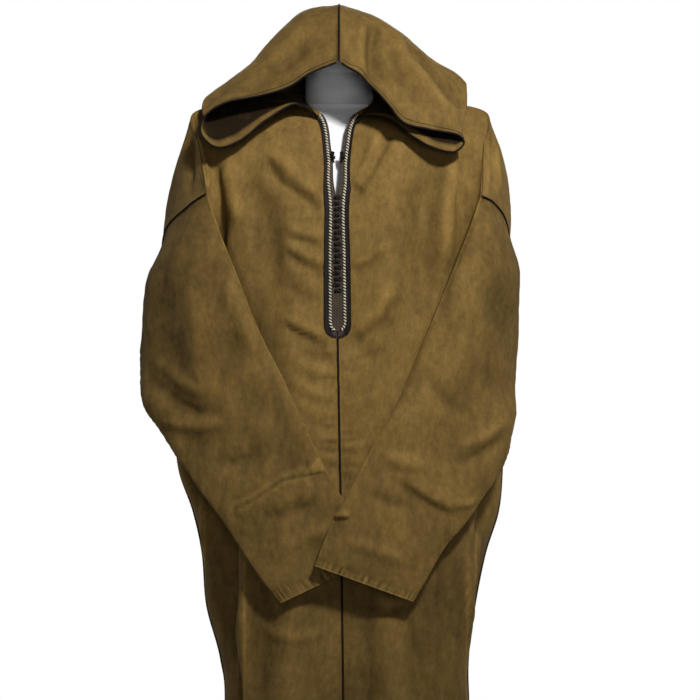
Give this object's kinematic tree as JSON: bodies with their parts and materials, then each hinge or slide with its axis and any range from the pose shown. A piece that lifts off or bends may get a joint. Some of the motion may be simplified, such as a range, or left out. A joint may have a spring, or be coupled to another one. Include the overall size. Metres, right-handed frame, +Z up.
{
  "type": "hooded thobe on a dress form",
  "caption": "Long hooded thobe with a corded neck slit, its sleeves crossed in front, worn by a limbless dress form on a round stand.",
  "frame": {"origin": "on the floor, under the middle of the whole object", "axes": "+Z up, -Y towards the garment's front, +X towards the wearer's left"},
  "size_m": [0.5756, 0.3952, 1.642],
  "materials": {
    "cloth": "brushed olive-brown cotton twill with a slight lustre",
    "braid": "very dark plaited braid and cord",
    "twist_cord": "cream and black twisted cord",
    "form_cover": "smooth white stretch cover",
    "stand_metal": "satin"
  },
  "bodies": {
    "root": {"front_right": "cloth", "sleeve_right": "cloth", "hood_right": "cloth", "placket_braid_right": "braid", "placket_twist_right": "twist_cord", "neck_knot_right": "braid", "side_cord_right": "braid", "armhole_cord_right": "braid", "hood_edge_cord_right": "braid", "front_left": "cloth", "sleeve_left": "cloth", "hood_left": "cloth", "placket_braid_left": "braid", "placket_twist_left": "twist_cord", "neck_knot_left": "braid", "side_cord_left": "braid", "armhole_cord_left": "braid", "hood_edge_cord_left": "braid", "back": "cloth", "knot_row": "braid", "front_seam_cord": "braid", "hood_seam_cord": "braid", "form_torso": "form_cover", "form_neck": "form_cover", "form_cap": "form_cover", "form_pole": "stand_metal", "form_base": "stand_metal"}
  },
  "joints": []
}
